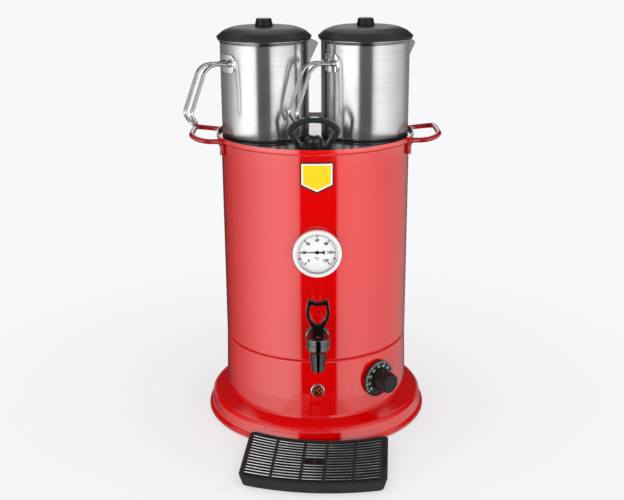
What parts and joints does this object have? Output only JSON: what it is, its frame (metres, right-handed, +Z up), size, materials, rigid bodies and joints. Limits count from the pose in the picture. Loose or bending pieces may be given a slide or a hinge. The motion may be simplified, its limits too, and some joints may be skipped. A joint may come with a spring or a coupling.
{
  "type": "hot water urn",
  "caption": "Round red hot water urn with tap, dial thermometer, thermostat knob, lift-off lid, drip tray, and teapots standing in its lid.",
  "frame": {"origin": "on the axis of the urn, on the surface that it stands on", "axes": "+Z up along the axis, -Y out of the front, where the tap, the thermometer and the lamp are, +X to the right of someone who looks at the front"},
  "size_m": [0.3985, 0.501, 0.6502],
  "materials": {
    "red_paint": "gloss",
    "badge_enamel": "gloss",
    "plated_steel": "satin",
    "rubber": "matt",
    "stainless": "brushed",
    "deck_steel": "brushed",
    "charcoal_lid": "satin",
    "black_plastic": "satin",
    "grille_plastic": "satin",
    "gunmetal": "gloss",
    "lever_black": "gloss",
    "element_sheath": "dull",
    "brass": "machined",
    "control_body": "matt",
    "copper": "drawn",
    "ceramic": "matt",
    "wire_sleeve": "satin",
    "bright_chrome": "polished",
    "amber_lens": "clear",
    "dial_white": "matt",
    "pointer_black": "matt",
    "clear_glass": "clear"
  },
  "bodies": {
    "urn": {"badge_plate": "badge_enamel", "base_ring": "red_paint", "body_jacket": "red_paint", "bottom_plate": "plated_steel", "cable_gland": "black_plastic", "element_nuts": "brass", "element_seals": "rubber", "foot_screws": "plated_steel", "gauge_bezel": "bright_chrome", "gauge_case": "stainless", "gauge_dial": "dial_white", "gauge_glass": "clear_glass", "gauge_nut": "brass", "heating_element": "element_sheath", "lamp_bezel": "bright_chrome", "lamp_lens": "amber_lens", "lamp_nut": "plated_steel", "lower_housing": "red_paint", "rubber_feet": "rubber", "safety_cutout": "control_body", "side_handle_left": "red_paint", "side_handle_right": "red_paint", "tank": "stainless", "tap_body": "gunmetal", "tap_bonnet": "gunmetal", "tap_nut": "brass", "tap_pin": "plated_steel", "tap_rosette": "gunmetal", "tap_seal": "rubber", "tap_spring": "plated_steel", "terminal_block": "ceramic", "thermostat_body": "control_body", "thermostat_bulb": "copper", "wiring": "wire_sleeve"},
    "lid": {"lid_plate": "deck_steel", "lid_handle": "black_plastic", "lid_screws": "plated_steel"},
    "tap_lever": {"tap_lever": "lever_black"},
    "tap_stem": {"tap_stem": "plated_steel", "tap_seat_cup": "rubber"},
    "thermostat_knob": {"thermostat_knob": "black_plastic", "thermostat_shaft": "plated_steel"},
    "gauge_pointer": {"gauge_pointer": "pointer_black"},
    "drip_tray": {"drip_tray": "black_plastic"},
    "tray_grille": {"tray_grille": "grille_plastic"},
    "pot_left": {"pot_body_left": "stainless", "pot_spout_left": "stainless", "pot_bracket_left": "stainless", "pot_handle_left": "stainless"},
    "pot_lid_left": {"pot_lid_left": "charcoal_lid", "pot_knob_left": "black_plastic", "pot_knob_screw_left": "plated_steel"},
    "pot_right": {"pot_body_right": "stainless", "pot_spout_right": "stainless", "pot_bracket_right": "stainless", "pot_handle_right": "stainless"},
    "pot_lid_right": {"pot_lid_right": "charcoal_lid", "pot_knob_right": "black_plastic", "pot_knob_screw_right": "plated_steel"}
  },
  "joints": [
    {"name": "lid_lift", "type": "slide", "parent": "urn", "child": "lid", "axis": [0, 0, 1], "range_m": [0, 0.2]},
    {"name": "pot_left_lift", "type": "slide", "parent": "lid", "child": "pot_left", "axis": [0, 0, 1], "range_m": [0, 0.16]},
    {"name": "pot_right_lift", "type": "slide", "parent": "lid", "child": "pot_right", "axis": [0, 0, 1], "range_m": [0, 0.16]},
    {"name": "pot_lid_left_lift", "type": "slide", "parent": "pot_left", "child": "pot_lid_left", "axis": [0, 0, 1], "range_m": [0, 0.08]},
    {"name": "pot_lid_right_lift", "type": "slide", "parent": "pot_right", "child": "pot_lid_right", "axis": [0, 0, 1], "range_m": [0, 0.08]},
    {"name": "tap_lever_tilt", "type": "hinge", "parent": "urn", "child": "tap_lever", "pos_m": [0, -0.2, 0.1943], "axis": [1, 0, 0], "range_deg": [0, 35], "stiffness_Nm_per_rad": 0.05, "springref_deg": -34.38},
    {"name": "tap_stem_lift", "type": "slide", "parent": "urn", "child": "tap_stem", "axis": [0, 0, 1], "range_m": [0, 0.00291], "deforming": ["tap_spring"]},
    {"name": "thermostat_turn", "type": "hinge", "parent": "urn", "child": "thermostat_knob", "pos_m": [0.09613, -0.11661, 0.0925], "axis": [-0.6361, 0.7716, 0], "range_deg": [0, 270]},
    {"name": "gauge_pointer_turn", "type": "hinge", "parent": "urn", "child": "gauge_pointer", "pos_m": [0, -0.1532, 0.3165], "axis": [0, 1, 0], "range_deg": [-45, 225]},
    {"name": "tray_pull", "type": "slide", "parent": "urn", "child": "drip_tray", "axis": [-0.0924, -0.9957, 0], "range_m": [0, 0.15]},
    {"name": "grille_lift", "type": "slide", "parent": "drip_tray", "child": "tray_grille", "axis": [0, 0, 1], "range_m": [0, 0.1]}
  ],
  "couplings": [
    {"joint": "tap_stem_lift", "follows": "tap_lever_tilt", "m_per_rad": 0.0046948}
  ]
}
